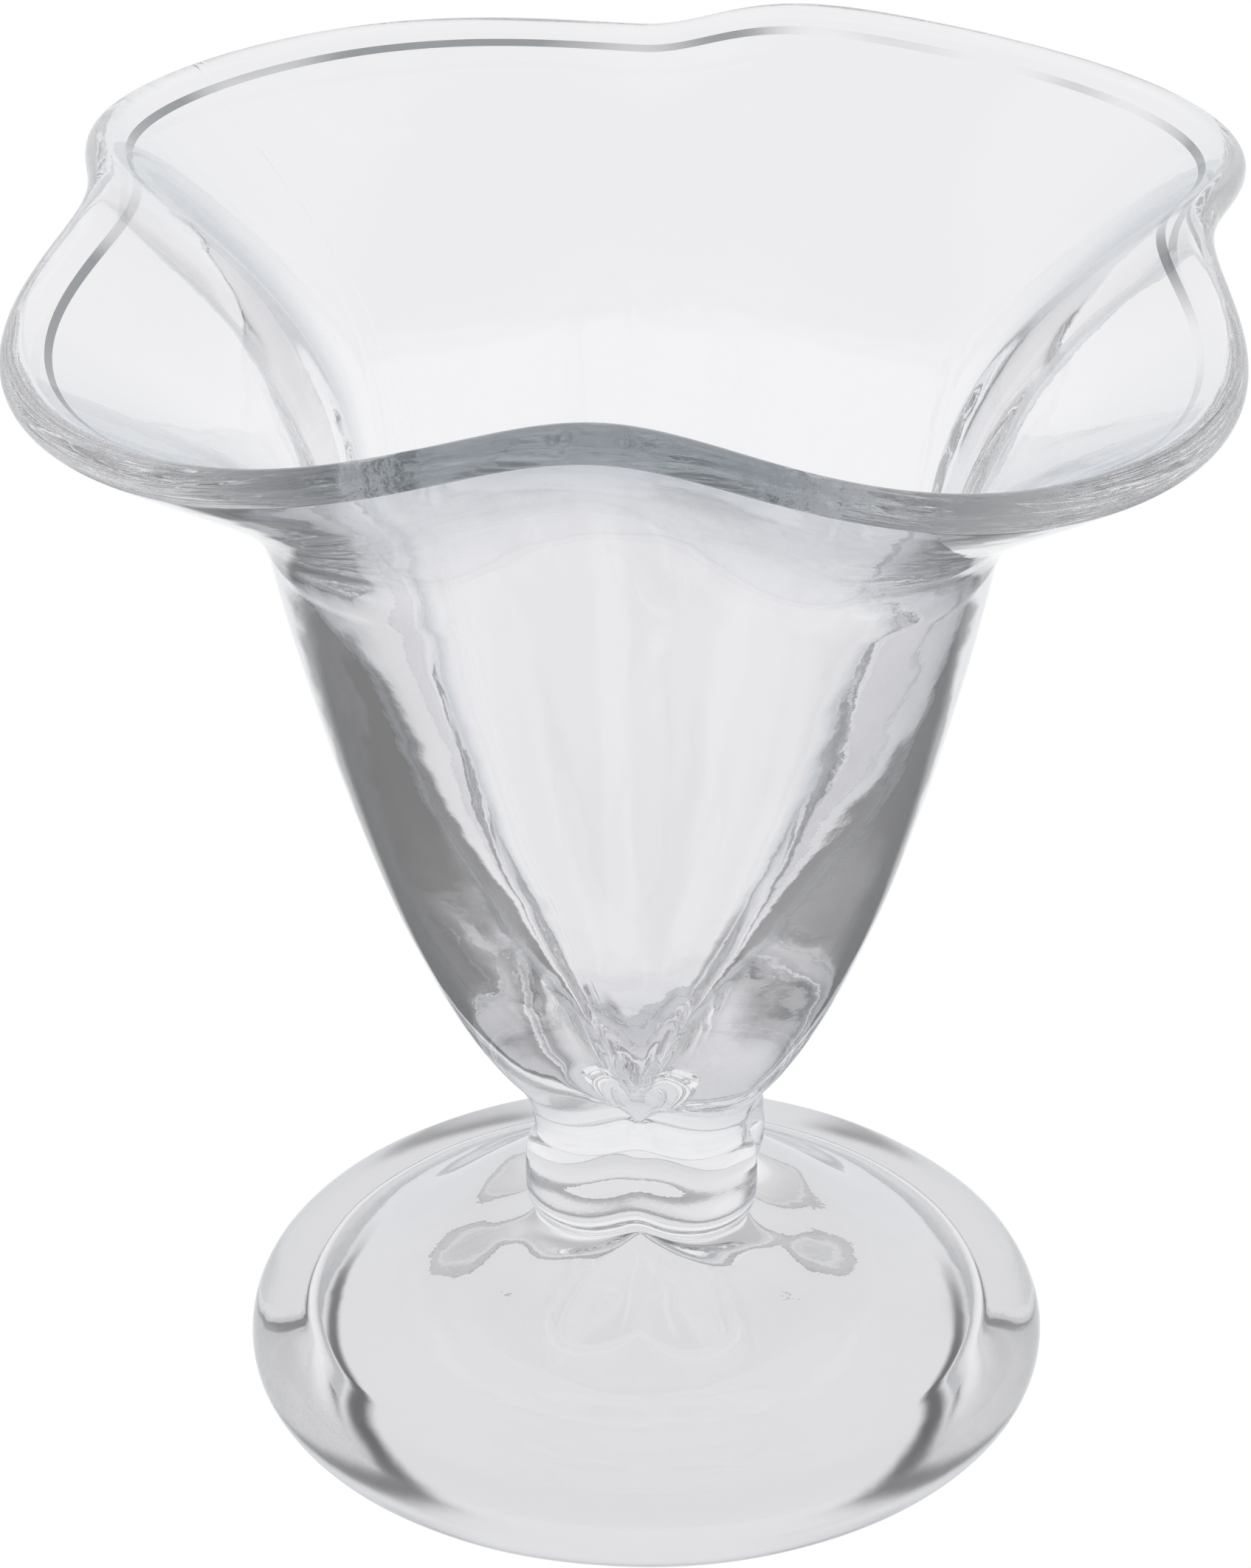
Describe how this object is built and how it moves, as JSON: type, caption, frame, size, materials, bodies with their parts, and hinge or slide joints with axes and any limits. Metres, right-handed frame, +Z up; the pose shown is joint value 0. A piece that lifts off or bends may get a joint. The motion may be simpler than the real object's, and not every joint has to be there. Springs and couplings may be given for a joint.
{
  "type": "parfait glass",
  "caption": "Clear pressed parfait glass: a deep petalled bowl flaring to a thick wavy lip, on a short lobed stem and a wide round foot.",
  "frame": {"origin": "centre of the standing face under the foot", "axes": "+Z up through the bowl; -Y towards the front dip of the rim, +X to the right; the dips of the rim face -Y, +X, +Y and -X and the petals lie on the diagonals"},
  "size_m": [0.1108, 0.1108, 0.1276],
  "materials": {
    "clear_glass": "fire-polished clear soda-lime glass with faint mould seams and ripples"
  },
  "bodies": {
    "root": {"foot": "clear_glass", "stem": "clear_glass", "bowl": "clear_glass"}
  },
  "joints": []
}
